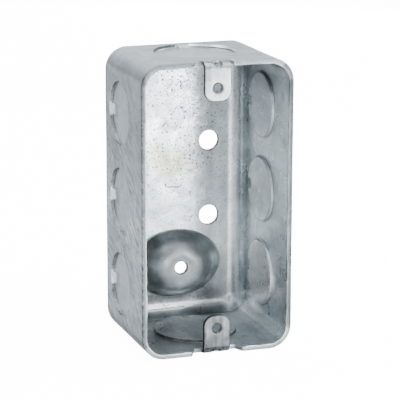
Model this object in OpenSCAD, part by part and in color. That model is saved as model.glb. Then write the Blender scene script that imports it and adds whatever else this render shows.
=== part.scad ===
// Deep-drawn single-gang utility box of galvanised sheet steel.
// Millimetres. X runs across the box, Z along its length, and Y from the open front to the back.
// The origin is the middle of the back's outer face, so the open front lies at Y = -body_d.

/* [Body] */
// Width across the two long walls
body_w = 54; // [50:0.5:80]
// Length over the two end walls
body_l = 101.6; // [98:0.2:140]
// Depth from the rim to the back
body_d = 47.6; // [46:0.2:70]
// Sheet thickness
sheet_t = 1.6; // [1.2:0.1:2]
// Radius of the four upright corners, outside
corner_r = 8; // [7.4:0.1:12]
// Radius of the bend between the walls and the back, outside
bend_r = 7.2; // [4:0.1:7.2]

/* [Knockouts] */
// Diameter of a long wall's knockout
side_ko_d = 22; // [16:0.1:23]
// Distance between the knockouts of a long wall
side_ko_pitch = 30.2; // [26:0.1:32]
// Distance from the rim to the middle of a long wall's knockout
side_ko_y = 25.4; // [20:0.1:26]
// Diameter of an end wall's knockout
end_ko_d = 28; // [16:0.1:29]
// Distance from the rim to the middle of an end wall's knockout
end_ko_y = 24; // [20:0.1:25]
// How far each slug is pushed into the box
ko_step = 1; // [0.5:0.1:1.2]
// Width of the tie that holds each slug
tie_w = 4.6; // [2:0.1:8]

/* [Back] */
// Diameter of the two mounting holes
mount_hole_d = 7.1; // [4:0.1:8]
// Distance between the two mounting holes
mount_hole_pitch = 27.5; // [20:0.1:27.5]
// Height of their middle above the middle of the box
mount_hole_up = 0.4; // [0:0.1:1]
// Distance of the mounting holes from the middle line
mount_hole_x = 12.8; // [10:0.1:14]
// Distance of the ground dome below the middle
dome_z = 30.3; // [30:0.1:31]
// Half height of the dome's oval outline
dome_r = 12.4; // [11:0.1:12.8]
// Extra half width of the oval outline
dome_c = 4.3; // [0:0.1:5]
// Height of the dome inside the box
dome_h = 7; // [5:0.1:7.5]
// Tapped ground hole diameter
ground_hole_d = 4.8; // [3:0.1:6]

/* [Ears] */
// Distance between the two tapped ear holes
ear_pitch = 83.34; // [80:0.02:84]
// Tapped ear hole diameter
ear_hole_d = 3.5; // [2.5:0.1:4.5]
// Ear width
ear_w = 9.4; // [7:0.1:12]
// Distance from the ear hole to the ear's tip
ear_tip = 4.5; // [3.5:0.1:7]
// Radius of the two corners at an ear's tip
ear_tip_r = 3.5; // [1:0.1:3.5]
// How far the ears lie behind the rim
ear_set = 0.5; // [0.2:0.1:2]
// Depth of the relief notches beside an ear
notch_d = 3.6; // [3:0.1:6]
// Width of a relief notch
notch_w = 3.4; // [2:0.1:5]
// Width of the slit that takes the notch's place at the upper ear's right side
slit_w = 0.5; // [0.3:0.1:2]

/* [Hidden] */
$fn = 64;
rim_y = -body_d;
half_w = body_w/2;
half_l = body_l/2;
bend_in = 0.8;
bend_out = bend_in + sheet_t;
ear_face = rim_y + ear_set;
ear_z = ear_pitch/2;
dome_base = -sheet_t;
shoulder_r = dome_h;
flat_r = dome_r - 8.06*dome_h/7;
slope = 60;

// Rounded rectangle in the X-Z plane
module plan(w, l, r) {
    square([w - 2*r, l], center = true);
    square([w, l - 2*r], center = true);
    for (sx = [-1, 1], sz = [-1, 1])
        translate([sx*(w/2 - r), sz*(l/2 - r)]) circle(r);
}

// Section of a slab whose two long edges are rounded towards +Y
module bent_section(w, r) {
    translate([-w/2 + r, 0]) square([w - 2*r, r]);
    for (s = [-1, 1])
        translate([s*(w/2 - r), 0])
            intersection() {
                circle(r);
                translate([s > 0 ? 0 : -r, 0]) square([r, r]);
            }
}

// Closed block with upright corners of radius r and a back edge rounded by b, back face at y1
module drawn_block(w, l, y0, y1, r, b) {
    translate([0, y1 - b, 0]) rotate([90, 0, 0])
        linear_extrude(y1 - b - y0) plan(w, l, r);
    translate([0, y1 - b, -(l/2 - r)])
        linear_extrude(l - 2*r) bent_section(w, b);
    for (s = [0, 1]) mirror([0, 0, s])
        translate([-(w/2 - r), y1 - b, l/2 - r]) rotate([90, 0, 90])
            linear_extrude(w - 2*r) end_section(r, b);
    for (mx = [0, 1], mz = [0, 1]) mirror([mx, 0, 0]) mirror([0, 0, mz])
        translate([w/2 - r, y1 - b, l/2 - r]) rotate([-90, 0, 0]) mirror([0, 1, 0])
            rotate_extrude(angle = 90) corner_section(r, b);
}

// Rounded strip from the inner line of the corners out to the end wall
module end_section(r, b) {
    rotate([0, 0, 90]) mirror([0, 1, 0]) corner_section(r, b);
}

// Strip from the corner's centre line out to its rounded edge
module corner_section(r, b) {
    square([r - b, b]);
    translate([r - b, 0]) intersection() {
        circle(b);
        square([b, b]);
    }
}

// Section of the dome: u is the distance from its middle, v the height above the base
module dome_section(flat, shoulder, low) {
    run = shoulder*(1 - cos(slope));
    x1 = flat + shoulder*sin(slope);
    y1 = shoulder*cos(slope);
    polygon([[0, low], [x1 + (y1 - low)/tan(slope), low], [x1, y1], [0, y1]]);
    translate([0, y1 - 0.01]) square([flat, run + 0.01]);
    intersection() {
        circle_at(flat, shoulder);
        translate([flat - 0.01, y1 - 0.01]) square([x1 - flat + 0.01, run + 0.02]);
    }
}

module circle_at(x, r) {
    translate([x, 0]) circle(r);
}

// Oval dome standing on y = 0 and rising towards -Y
module oval_dome(flat, shoulder, low) {
    rotate([90, 0, 0]) {
        for (s = [-1, 1])
            translate([s*dome_c, 0, 0]) rotate([0, 0, s > 0 ? -90 : 90])
                rotate_extrude(angle = 180) dome_section(flat, shoulder, low);
        for (m = [0, 1]) mirror([0, m, 0])
            translate([-dome_c, 0, 0]) rotate([90, 0, 90])
                linear_extrude(2*dome_c) dome_section(flat, shoulder, low);
    }
}

// Slug pushed inwards by ko_step: the recess outside and the boss inside, for a wall whose
// outer face lies at x = face, seen from +X
module ko_recess(face, d, y) {
    translate([face - ko_step, y, 0]) rotate([0, 90, 0]) cylinder(d = d, h = ko_step + 2);
}

module ko_boss(face, d, y) {
    translate([face - sheet_t - ko_step, y, 0]) rotate([0, 90, 0])
        cylinder(d = d + 1.2, h = ko_step + sheet_t/2);
}

// Tie at the slug's rear edge: the sheet bends there instead of being sheared
module ko_tie(face, d, y) {
    rear = y + d/2;
    translate([0, 0, -tie_w/2]) linear_extrude(tie_w)
        polygon([[face, rear], [face - ko_step - 0.3, rear],
                 [face - ko_step - 0.3, rear - 3.6], [face - ko_step, rear - 3.6]]);
}

module ko_tie_relief(face, d, y) {
    rear = y + d/2;
    inner = face - sheet_t;
    translate([0, 0, -tie_w/2]) linear_extrude(tie_w)
        polygon([[inner, rear], [inner, rear + 1], [inner - ko_step - 1, rear + 1],
                 [inner - ko_step - 1, rear - 3.6], [inner - ko_step, rear - 3.6]]);
}

// Places its children on every long wall's knockout, then on both end walls'
module side_kos() {
    for (m = [0, 1], i = [-1, 0, 1])
        mirror([m, 0, 0]) translate([0, 0, i*side_ko_pitch]) children();
}

module end_kos() {
    for (a = [-90, 90]) rotate([0, a, 0]) children();
}

// Ear folded inwards from the upper end wall
module ear() {
    tip = ear_z - ear_tip;
    bend_z = half_l - bend_out;
    difference() {
        union() {
            // wall stub between the notches
            translate([-ear_w/2, ear_face + bend_out, half_l - sheet_t])
                cube([ear_w, notch_d - ear_set - bend_out + 0.6, sheet_t]);
            // bend
            translate([-ear_w/2, ear_face + bend_out, bend_z]) rotate([0, 90, 0])
                rotate([0, 0, 90]) intersection() {
                    difference() {
                        cylinder(r = bend_out, h = ear_w);
                        translate([0, 0, -1]) cylinder(r = bend_in, h = ear_w + 2);
                    }
                    translate([-bend_out, 0, 0]) cube([bend_out, bend_out, ear_w]);
                }
            // flat with a rounded tip
            translate([0, ear_face + sheet_t, 0]) rotate([90, 0, 0])
                linear_extrude(sheet_t) {
                    translate([-ear_w/2, tip + ear_tip_r])
                        square([ear_w, bend_z - tip - ear_tip_r]);
                    translate([-ear_w/2 + ear_tip_r, tip])
                        square([ear_w - 2*ear_tip_r, ear_tip_r]);
                    for (s = [-1, 1])
                        translate([s*(ear_w/2 - ear_tip_r), tip + ear_tip_r]) circle(ear_tip_r);
                }
            // swelling inside the bend, under the stiffening dent
            intersection() {
                translate(dent_at()) sphere(r = 3.5);
                translate([-ear_w/2, ear_face + sheet_t - 0.5, bend_z - 4])
                    cube([ear_w, 6, 4 + bend_in + 0.5]);
            }
        }
        translate(dent_at()) sphere(r = 2.6);
        translate([0, ear_face - 1, ear_z]) rotate([-90, 0, 0])
            cylinder(d = ear_hole_d, h = sheet_t + 2);
    }
}

// Middle of the ball that presses the dent into the bend
function dent_at() = [0, ear_face + bend_out - 4.1*cos(45), half_l - bend_out + 4.1*sin(45)];

// Half of the gap left in the end wall for the ear, on the +X side, with its relief notch
module notch_gap() {
    a = ear_w/2 + notch_w;
    polygon([[0, rim_y - 1], [a + 1.2, rim_y - 1], [a + 0.9, rim_y],
             [a - 0.6, rim_y + notch_d], [0, rim_y + notch_d]]);
}

// The same half with a narrow slit in place of the notch
module slit_gap() {
    translate([0, rim_y - 1]) square([ear_w/2 + slit_w, notch_d + 1]);
}

// Whole gap: the upper ear's right side has only the slit
module ear_gap(slit) {
    translate([0, 0, half_l - sheet_t - 1]) linear_extrude(sheet_t + 2) {
        mirror([1, 0]) notch_gap();
        if (slit) slit_gap();
        else notch_gap();
    }
}

module box() {
    color("#a9b0b6") difference() {
        union() {
            difference() {
                drawn_block(body_w, body_l, rim_y, 0, corner_r, bend_r);
                drawn_block(body_w - 2*sheet_t, body_l - 2*sheet_t, rim_y - 1, -sheet_t,
                            corner_r - sheet_t, bend_r - sheet_t);
                side_kos() ko_recess(half_w, side_ko_d, rim_y + side_ko_y);
                end_kos() ko_recess(half_l, end_ko_d, rim_y + end_ko_y);
                for (m = [0, 1]) mirror([0, 0, m]) ear_gap(m == 0);
            }
            side_kos() difference() {
                union() {
                    ko_boss(half_w, side_ko_d, rim_y + side_ko_y);
                    ko_tie(half_w, side_ko_d, rim_y + side_ko_y);
                }
                ko_tie_relief(half_w, side_ko_d, rim_y + side_ko_y);
            }
            end_kos() difference() {
                union() {
                    ko_boss(half_l, end_ko_d, rim_y + end_ko_y);
                    ko_tie(half_l, end_ko_d, rim_y + end_ko_y);
                }
                ko_tie_relief(half_l, end_ko_d, rim_y + end_ko_y);
            }
            translate([0, -sheet_t, -dome_z]) oval_dome(flat_r, shoulder_r, -sheet_t/2);
            for (m = [0, 1]) mirror([0, 0, m]) ear();
        }
        // hollow behind the dome
        translate([0, -sheet_t, -dome_z]) oval_dome(flat_r, shoulder_r - sheet_t, -sheet_t - 1);
        translate([0, -sheet_t - dome_h - 1, -dome_z]) rotate([-90, 0, 0])
            cylinder(d = ground_hole_d, h = dome_h + sheet_t + 2);
        for (s = [-1, 1])
            translate([mount_hole_x, -sheet_t - 1, mount_hole_up + s*mount_hole_pitch/2]) rotate([-90, 0, 0])
                cylinder(d = mount_hole_d, h = sheet_t + 2);
    }
}

box();
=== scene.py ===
import bpy, bmesh, math
from mathutils import Vector, Matrix, noise
from mathutils.geometry import delaunay_2d_cdt


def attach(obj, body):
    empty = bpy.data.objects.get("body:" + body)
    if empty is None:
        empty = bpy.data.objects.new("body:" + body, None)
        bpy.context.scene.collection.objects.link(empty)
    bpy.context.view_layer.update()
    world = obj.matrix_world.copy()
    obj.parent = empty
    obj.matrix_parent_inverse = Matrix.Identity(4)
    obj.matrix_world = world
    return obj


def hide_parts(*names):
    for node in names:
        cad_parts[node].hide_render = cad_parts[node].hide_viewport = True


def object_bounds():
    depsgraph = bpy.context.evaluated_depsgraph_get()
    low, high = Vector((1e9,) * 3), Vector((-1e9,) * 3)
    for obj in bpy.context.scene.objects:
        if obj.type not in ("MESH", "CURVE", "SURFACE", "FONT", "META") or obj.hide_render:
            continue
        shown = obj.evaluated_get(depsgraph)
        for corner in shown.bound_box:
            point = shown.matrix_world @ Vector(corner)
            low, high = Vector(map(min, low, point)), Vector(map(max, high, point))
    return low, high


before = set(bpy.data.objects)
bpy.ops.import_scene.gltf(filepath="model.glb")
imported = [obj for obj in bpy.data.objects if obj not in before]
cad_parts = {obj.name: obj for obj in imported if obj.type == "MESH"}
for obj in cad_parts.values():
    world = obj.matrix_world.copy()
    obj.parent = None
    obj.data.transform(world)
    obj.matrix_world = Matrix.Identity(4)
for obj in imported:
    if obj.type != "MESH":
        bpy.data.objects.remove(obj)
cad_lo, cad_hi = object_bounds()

MM = 0.001


# ---------------------------------------------------------------- camera
def make_camera():
    pos = Vector((-0.21909, -0.65668, 0.16174))
    view = Vector((0.320099, 0.917194, -0.237257)).normalized()
    up = Vector((0.076388, 0.224631, 0.971445)).normalized()
    right = view.cross(up).normalized()
    up = right.cross(view).normalized()
    rot = Matrix((right, up, -view)).transposed()
    data = bpy.data.cameras.new("camera")
    data.sensor_width = 36.0
    data.sensor_fit = "HORIZONTAL"
    data.lens = 36.0 * 1983.72 / 400.0
    data.clip_start, data.clip_end = 0.05, 20.0
    cam = bpy.data.objects.new("camera", data)
    cam.matrix_world = Matrix.Translation(pos) @ rot.to_4x4()
    bpy.context.scene.collection.objects.link(cam)
    bpy.context.scene.camera = cam
    return cam


make_camera()

# ---------------------------------------------------------------- sizes, in millimetres
W, L, D, T = 54.0, 101.6, 47.6, 1.6      # width, length, depth, sheet
CR, BR = 8.0, 7.2                        # upright corners and back bend, outside
RIM = -D
HW, HL = W / 2, L / 2
FX, FZ = HW - CR, HL - CR                # ends of the flat parts of the walls
YB = -BR                                 # where the walls meet the bend
EDGE = 0.4                               # both skins stop this far short of a cut edge

SIDE_R, SIDE_Y, SIDE_P = 11.0, RIM + 25.4, 30.2
END_R, END_Y = 14.0, RIM + 24.0
BOSS = 0.6                               # the boss is this much larger than its recess
STEP = 1.0
TIE = 4.6
ROUGH = 0.315

HOLE_R, HOLE_X, HOLE_UP, HOLE_Z = 3.55, 12.8, 0.4, 13.75
WALL_HOLES = ((HOLE_X, HOLE_UP + HOLE_Z), (HOLE_X, HOLE_UP - HOLE_Z))
DOME_Z, DOME_B, DOME_C, DOME_H = -30.3, 12.4, 4.3, 7.0
FLAT_R = 4.34
GROUND_R = 2.4

EAR_HALF, EAR_SET, EAR_Z = 4.7, 0.5, 41.67
EAR_TIP_Z = EAR_Z - 4.5
EAR_TIP_R = 3.5
EAR_R = 1.75
BI, BO = 0.8, 2.4                        # ear bend, inside and outside
YC = RIM + EAR_SET + BO                  # the ear's bend starts here
ZC = HL - BO
RM = (BI + BO) / 2
LB = math.pi / 2 * RM                    # length of the bend along the middle of the sheet
YF = YC - LB                             # the flat of the ear starts here, unrolled
EAR_TIP_Y = YF - (ZC - EAR_TIP_Z)
EAR_HOLE_Y = YF - (ZC - EAR_Z)
NOTCH_D, NOTCH_W, SLIT_W = 3.6, 3.4, 0.5

# ---------------------------------------------------------------- mesh building
# A holds cut marks; G holds painted highlight and painted shade factors on the colour
V, N, A, G, F = [], [], [], [], []       # places, sheet normals, marks, gains and faces


def vert(p, n, cut=0.0, gain=1.0):
    V.append(Vector(p))
    N.append(Vector(n))
    A.append(cut)
    G.append(gain)
    return len(V) - 1


def quads(rows, closed=False):
    """Joins equal rows of vertex numbers into a grid."""
    m = len(rows)
    for i in range(m if closed else m - 1):
        a, b = rows[i], rows[(i + 1) % m]
        for j in range(len(a) - 1):
            F.append((a[j], a[j + 1], b[j + 1], b[j]))


def span(a, b, step):
    n = max(1, round(abs(b - a) / step))
    return [a + (b - a) * i / n for i in range(n + 1)]


def smooth(x):
    x = min(1.0, max(0.0, x))
    return x * x * (3 - 2 * x)


ZS = span(-FZ, FZ, 1.15)
XS = span(-FX, FX, 1.15)
YS = span(YB, RIM + EDGE, 1.15)
AS = span(0, 90, 90 / 16)                # angles round an upright corner
TS = span(0, 90, 90 / 14)                # angles round the back bend


def fill(loops, free, keep, place):
    """Triangles between the loops, through the free points, where keep says so."""
    pts, edges = [], []
    for loop in loops:
        base = len(pts)
        pts += [Vector(p) for p in loop]
        n = len(loop)
        edges += [(base + i, base + (i + 1) % n) for i in range(n)]
    pts += [Vector(p) for p in free]
    vs, _, fs, _, _, _ = delaunay_2d_cdt(pts, edges, [], 0, 1e-5)
    used = {}
    for f in fs:
        c = (vs[f[0]] + vs[f[1]] + vs[f[2]]) / 3
        if keep(c.x, c.y):
            tri = []
            for i in f:
                if i not in used:
                    used[i] = place(vs[i].x, vs[i].y)
                tri.append(used[i])
            F.append(tuple(tri))


def side_map(sx):
    def f(p, y, off):
        return (sx * (HW - off), y, p), (sx, 0, 0)
    return f


def end_map(sz):
    def f(x, y, off):
        if y >= YC or abs(x) > EAR_HALF + 0.1:
            return (x, y, sz * (HL - off)), (0, 0, sz)
        if y > YF:
            a = (YC - y) / RM
            r = BO - off
            return (x, YC - r * math.sin(a), sz * (ZC + r * math.cos(a))), (0, -math.sin(a), sz * math.cos(a))
        return (x, YC - BO + off, sz * (ZC - (YF - y))), (0, -1, 0)
    return f


def corner_map(sx, sz):
    def f(a, y, off):
        ca, sa = math.cos(math.radians(a)), math.sin(math.radians(a))
        r = CR - off
        return (sx * (FX + r * ca), y, sz * (FZ + r * sa)), (sx * ca, 0, sz * sa)
    return f


def base_map(x, z, off):
    return (x, -off, z), (0, 1, 0)


def bend_point(c, n, t, off):
    """c: point of the inset outline, n: outward in the X-Z plane, t: angle up from the back."""
    st, ct = math.sin(math.radians(t)), math.cos(math.radians(t))
    r = BR - off
    return (c[0] + n[0] * r * st, -BR + r * ct, c[1] + n[1] * r * st), (n[0] * st, ct, n[1] * st)


# rows of a cut edge: how far out of the skin's border, how deep in the sheet, and a cut mark: positive darkens and
# roughens the sheared face, partly as duller bare metal and partly as painted shade; negative is a painted highlight
# along the inner skin's rounded edge
PLAIN = [(0, 0, 0), (0.2, 0.015, 0.2), (0.32, 0.08, 0.6), (0.385, 0.2, 1), (0.4, 0.45, 1), (0.385, 0.9, 1),
         (0.4, 1.22, 0.7), (0.385, 1.4, -0.8), (0.27, 1.57, -0.8), (0, T, 0)]


def strip(samples, place, rows=PLAIN, burr=None, closed=False):
    """samples: (u, v, outward u, outward v) along the border of the skins."""
    out = []
    for u, v, nu, nv in samples:
        line = []
        b = burr(u, v) if burr else 0.0
        for e, off, cut in rows:
            o = off + (b * smooth((off - 0.9) / 0.6) if off < T else 0)
            p, n = place(u + nu * e, v + nv * e, o)
            line.append(vert(p, n, cut))
        out.append(line)
    quads(out, closed)


def path(points, radii, step):
    """Points and outward sides of a polyline whose inner corners are rounded; outward is to the right."""
    out = []
    n = len(points)

    def put(p, t):
        out.append((p.x, p.y, t.y, -t.x))
    prev = Vector(points[0])
    for i in range(1, n):
        here = Vector(points[i])
        d = (here - prev).normalized()
        if i < n - 1:
            nxt = (Vector(points[i + 1]) - here).normalized()
            turn = d.angle_signed(nxt)
            r = radii[i]
            cut = r * math.tan(abs(turn) / 2)
            a, b = here - d * cut, here + nxt * cut
            m = max(1, round((a - prev).length / step))
            for k in range(m):
                put(prev.lerp(a, k / m), d)
            side = 1 if turn < 0 else -1          # angle_signed is clockwise-positive
            c = a + Vector((-d.y, d.x)) * r * side
            m = max(3, round(abs(turn) * max(r, 0.35) / (step * 0.5)))
            for k in range(m):
                ang = -turn * k / m
                v = a - c
                q = Vector((v.x * math.cos(ang) - v.y * math.sin(ang), v.x * math.sin(ang) + v.y * math.cos(ang)))
                t = Vector((d.x * math.cos(ang) - d.y * math.sin(ang), d.x * math.sin(ang) + d.y * math.cos(ang)))
                put(c + q, t)
            prev = b
        else:
            m = max(1, round((here - prev).length / step))
            for k in range(m + 1):
                put(prev.lerp(here, k / m), d)
    return out


# ---- knockouts
def ko_angles():
    t = math.degrees(math.asin(TIE / 2 / SIDE_R))
    out = [k * 3.75 for k in range(96)]
    out = [a for a in out if min(abs(a - t), abs(a - (360 - t))) > 1.5]
    return sorted(out + [t - 0.35, t + 0.35, 360 - t - 0.35, 360 - t + 0.35]), t


def ko_gain(outer, end, b, e, h):
    """Painted highlight and painted shade on the slug's sheared step, as factors on its colour: brighter on the step,
    darker on part of it and in thin lines at its foot and top.
    """
    if outer:
        if not end:
            return 1.15 if 0.05 < h < 0.95 else 1.0
        if b < -4:
            return 0.30 if 0.05 < h < 0.97 else 1.0
        if b < 100:
            return 0.35 if h > 0.8 and e > -0.75 else (1.5 if 0.02 < h < 0.8 else 1.0)
        return 1.0
    if end:                                      # seen on the lower wall
        return 0.4 if 0.03 < h < 0.97 and abs(b) > 80 and e > -0.3 else 1.0
    if h < 0.04 and e < 0.3:
        return 0.70
    if e > -0.3 and abs(b) < 100 and h > 0.9:
        return 0.60
    if 0.03 < h < 0.95:
        return 2.0 if b > 150 or b < -115 else 1.5
    return 1.0


def ko_rings(place, p0, y0, r, outer, tilt, end=False):
    """The slug's step in one skin. Returns the ring's outer and inner loops for fill()."""
    angles, tie = ko_angles()
    tie = math.degrees(math.asin(TIE / 2 / r))
    shift = tie / math.degrees(math.asin(TIE / 2 / SIDE_R))
    if outer:
        rows = [(0.85, 0), (0.4, 0.004), (0.2, 0.03), (0.08, 0.1), (0.02, 0.25), (0, 0.5), (-0.02, 0.9), (-0.08, 1)]
        if end and outer:
            rows = [(0.85, 0), (0.5, 0.02), (0.3, 0.2), (0.1, 0.4), (-0.1, 0.58), (-0.28, 0.73), (-0.34, 0.86), (-0.38, 1)]
    else:
        rows = [(0.7, 0), (0.2, 0.004), (0.08, 0.03), (0.02, 0.12), (0, 0.4), (-0.03, 0.74), (-0.12, 0.92), (-0.28, 1)]
    rows += [(-0.7, 1), (-1.4, 1), (-2.2, 1), (-3.0, 1), (-3.9, 1)]
    grid, loops = [], ([], [])
    for a in angles:
        b = a if a <= 180 else a - 360
        b = b * shift if abs(b) < 30 else b + math.copysign((shift - 1) * 30 * (180 - abs(b)) / 150, b)
        ca, sa = math.cos(math.radians(b)), math.sin(math.radians(b))
        on_tie = abs(b) < tie
        line = []
        for k, (e, h) in enumerate(rows):
            q = r + e
            if on_tie:
                h = smooth((0.25 - e) / 3.7) * 0.6 + 0.4 * min(1, max(0, (0.1 - e) / 3.5))
                if k == 0:
                    h = 0
                if k == len(rows) - 1:
                    h = 1
            u, v = p0 + q * sa, y0 + q * ca
            lean = 1 + tilt * (v - y0) / r * -0.5
            hh = h * STEP * (lean if h > 0 else 1)
            pt, n = place(u, v, (0 if outer else T) + hh)
            step = not on_tie and 0.05 < h < 0.95
            tick = abs(abs(b) - tie) < 1.2 and -2.6 < e < 0.3
            # painted highlight on the tie and at its edges, ko_gain's painted highlight and shade elsewhere; the
            # step's cut mark darkens it, partly as duller sheared metal, partly as painted shade
            shine = 1.6 if tick else ((1.45 if outer and -2.4 < e < 0.2 else 1.1) if on_tie else ko_gain(outer, end, b, e, h))
            line.append(vert(pt, n, (0.4 if end else 0.9) if step and not tick and not (end and shine > 1.3) else 0.0, shine))
            if k == 0:
                loops[0].append((u, v))
            if k == len(rows) - 1:
                loops[1].append((u, v))
        grid.append(line)
    quads(grid, True)
    return loops


def hole_loop(u0, v0, r, n):
    return [(u0 + r * math.cos(2 * math.pi * k / n), v0 + r * math.sin(2 * math.pi * k / n)) for k in range(n)]


def hole_strip(u0, v0, r, n, place, rows=PLAIN):
    s = []
    for k in range(n):
        c, d = math.cos(2 * math.pi * k / n), math.sin(2 * math.pi * k / n)
        s.append((u0 + (r + EDGE) * c, v0 + (r + EDGE) * d, -c, -d))
    strip(s, place, rows, closed=True)


def thread_strip(u0, v0, r, n, place, pitch=0.794, depth=0.3, hand=1):
    """A tapped hole: the sheet's thickness carries a helical ridge."""
    out = []
    for k in range(n):
        ph = k / n
        c, d = math.cos(2 * math.pi * ph), math.sin(2 * math.pi * ph)
        line = []
        p, nn = place(u0 + (r + EDGE) * c, v0 + (r + EDGE) * d, 0)
        line.append(vert(p, nn))
        for e, off in [(0.18, 0.02), (0.3, 0.1)]:
            p, nn = place(u0 + (r + EDGE - e) * c, v0 + (r + EDGE - e) * d, off)
            line.append(vert(p, nn, 0.5))
        m = 22
        for j in range(m + 1):
            off = 0.16 + (T - 0.32) * j / m
            fade = smooth(min(j, m - j) / 3)
            x = (off / pitch + hand * ph) % 1.0
            ridge = min(1.0, (1 - abs(2 * x - 1)) * 1.35)
            e = EDGE - 0.06 + depth * (ridge * fade + 0.35 * (1 - fade))
            p, nn = place(u0 + (r + EDGE - e) * c, v0 + (r + EDGE - e) * d, off)
            line.append(vert(p, nn, 0.8))
        for e, off in [(0.3, T - 0.1), (0.18, T - 0.02)]:
            p, nn = place(u0 + (r + EDGE - e) * c, v0 + (r + EDGE - e) * d, off)
            line.append(vert(p, nn, 0.5))
        p, nn = place(u0 + (r + EDGE) * c, v0 + (r + EDGE) * d, T)
        line.append(vert(p, nn))
        out.append(line)
    quads(out, True)


def grid_points(u0, u1, v0, v1, step, bad):
    """Free points of a slightly staggered grid, where bad says nothing against them."""
    out = []
    nu, nv = max(1, round((u1 - u0) / step)), max(1, round((v1 - v0) / step))
    for i in range(nu):
        for j in range(nv):
            u = u0 + (u1 - u0) * (i + 0.5 + (0.25 if j % 2 else -0.25)) / nu
            v = v0 + (v1 - v0) * (j + 0.5) / nv
            if not bad(u, v):
                out.append((u, v))
    return out


def rim_burr(u, v):
    return 0.0


def burr_at(x, z):
    """Ragged burr on the rim's inner edge, in millimetres."""
    b = noise.noise(Vector((x * 0.11, 3.1, z * 0.11))) + 0.6 * noise.noise(Vector((x * 0.35, 8.7, z * 0.35)))
    return 0.16 + 0.24 * max(-0.6, b)


# ---- long walls
def long_wall(sx):
    place = side_map(sx)
    kos = [i * SIDE_P for i in (-1, 0, 1)]
    for outer in (True, False):
        r = SIDE_R if outer else SIDE_R + BOSS
        loops = []
        rings = []
        for k, z in enumerate(kos):
            a, b = ko_rings(place, z, SIDE_Y, r, outer, (0.1, -0.05, 0.08)[k])
            loops += [a, b]
            rings.append(z)
        border = [(z, YB) for z in ZS] + [(FZ, y) for y in YS[1:]] + \
                 [(z, RIM + EDGE) for z in reversed(ZS[:-1])] + [(-FZ, y) for y in reversed(YS[1:-1])]
        loops.append(border)
        ro, ri = r + (0.85 if outer else 0.7), r - 3.9

        def bad(u, v, ro=ro, ri=ri):
            return any(ri - 0.55 < math.hypot(u - z, v - SIDE_Y) < ro + 0.55 for z in rings)

        def keep(u, v, ro=ro, ri=ri):
            return not any(ri * 1.0 < math.hypot(u - z, v - SIDE_Y) < ro * 1.0 for z in rings)

        def put(u, v, outer=outer, ri=ri):
            h = 0.0
            for k, z in enumerate(rings):
                if math.hypot(u - z, v - SIDE_Y) < ri + 0.01:
                    tilt = (0.1, -0.05, 0.08)[k]
                    h = STEP * (1 + tilt * (v - SIDE_Y) / r * -0.5)
            return vert(*place(u, v, (0 if outer else T) + h))
        free = grid_points(-FZ + 0.4, FZ - 0.4, RIM + EDGE + 0.4, YB - 0.4, 1.15, bad)
        fill(loops, free, keep, put)
    strip([(z, RIM + EDGE, 0, -1) for z in ZS], place, burr=lambda u, v: burr_at(sx * HW, u))


# ---- end walls with their ears
def dent(x, y):
    q = math.hypot(x / 1.3, y - (YC + YF) / 2) / 1.45
    return 0.6 * smooth((1 - q) / 0.5)


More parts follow.
